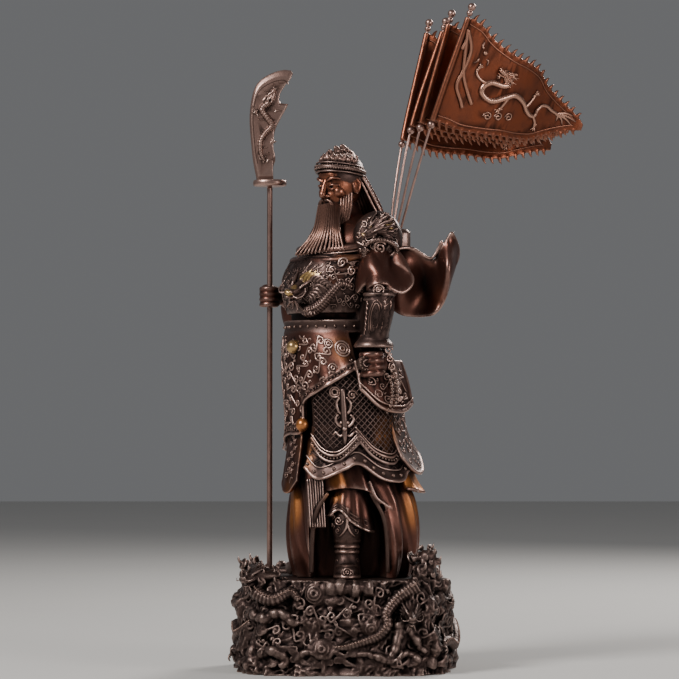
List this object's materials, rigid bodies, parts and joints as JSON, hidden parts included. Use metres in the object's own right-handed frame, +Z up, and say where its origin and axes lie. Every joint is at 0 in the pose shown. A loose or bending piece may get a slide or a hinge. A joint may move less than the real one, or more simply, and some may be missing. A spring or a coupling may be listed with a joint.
{
  "type": "warrior statue",
  "caption": "Bronze statue of a bearded warrior in armour and robes on a rocky dragon plinth, with a crescent-blade polearm and four pennants.",
  "frame": {"origin": "centre of the plinth's underside", "axes": "+Z up; +X to the statue's trailing pennants, so that the torso faces -X, turned 25 degrees towards -Y; -Y is the side the statue is best seen from"},
  "size_m": [0.3559, 0.2152, 0.6585],
  "materials": {
    "bronze": "dark antique bronze with worn copper ridges",
    "rock_bronze": "dark antique bronze, rough",
    "blade_copper": "pale worn copper",
    "shaft_copper": "brown copper, satin",
    "pole_copper": "pale copper, satin",
    "pennant_copper": "red copper with dark recesses"
  },
  "bodies": {
    "root": {"figure": "bronze", "plinth": "rock_bronze", "polearm_shaft": "shaft_copper", "polearm_blade": "blade_copper", "flag_pole_1": "pole_copper", "flag_pole_2": "pole_copper", "flag_pole_3": "pole_copper", "flag_pole_4": "pole_copper", "pennant_1": "pennant_copper", "pennant_2": "pennant_copper", "pennant_3": "pennant_copper", "pennant_4": "pennant_copper"}
  },
  "joints": []
}
